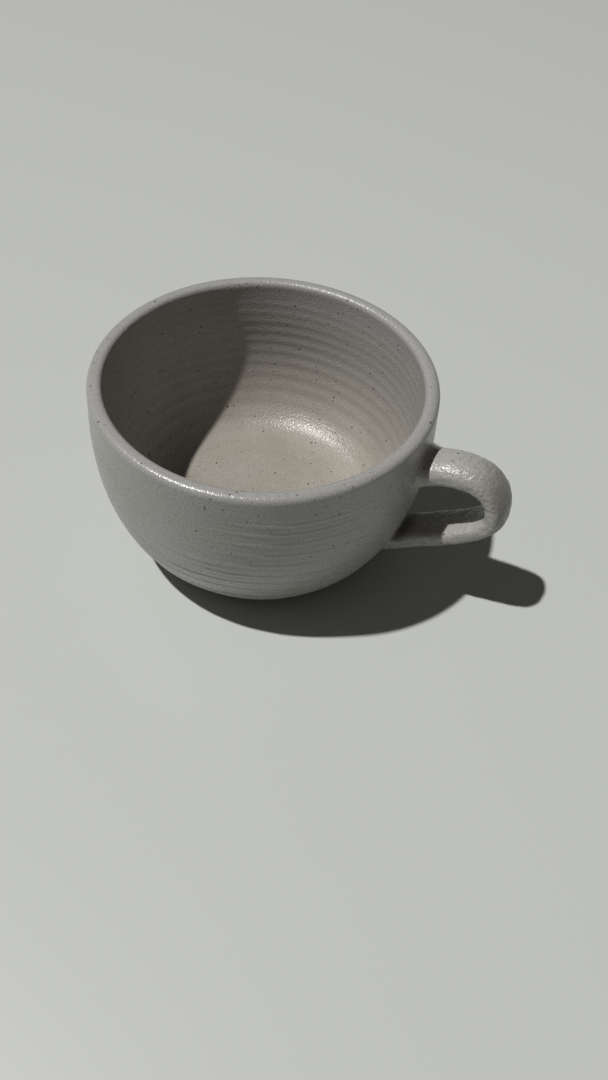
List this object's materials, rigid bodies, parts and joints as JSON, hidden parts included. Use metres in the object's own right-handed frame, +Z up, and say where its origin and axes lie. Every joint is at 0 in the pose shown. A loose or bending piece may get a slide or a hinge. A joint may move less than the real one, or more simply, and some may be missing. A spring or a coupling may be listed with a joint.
{
  "type": "cappuccino cup",
  "caption": "Wide, round-bellied stoneware cup with a rounded lip, throwing rings inside, a trimmed foot ring and a pulled strap handle, for holding a hot drink.",
  "frame": {"origin": "centre of the foot ring, on the table", "axes": "+Z up along the cup's axis, +X towards the handle"},
  "size_m": [0.1274, 0.1012, 0.06],
  "materials": {
    "stoneware_clay": "bare fired clay, matte, with iron specks",
    "liner_glaze": "pale oatmeal satin glaze with iron specks",
    "outer_glaze": "pale oatmeal satin glaze with iron specks",
    "handle_glaze": "pale oatmeal satin glaze with iron specks"
  },
  "bodies": {
    "root": {"thrown_body": "stoneware_clay", "handle_strap": "stoneware_clay", "upper_joint": "stoneware_clay", "lower_joint": "stoneware_clay", "liner_glaze": "liner_glaze", "outer_glaze": "outer_glaze", "handle_glaze": "handle_glaze"}
  },
  "joints": []
}
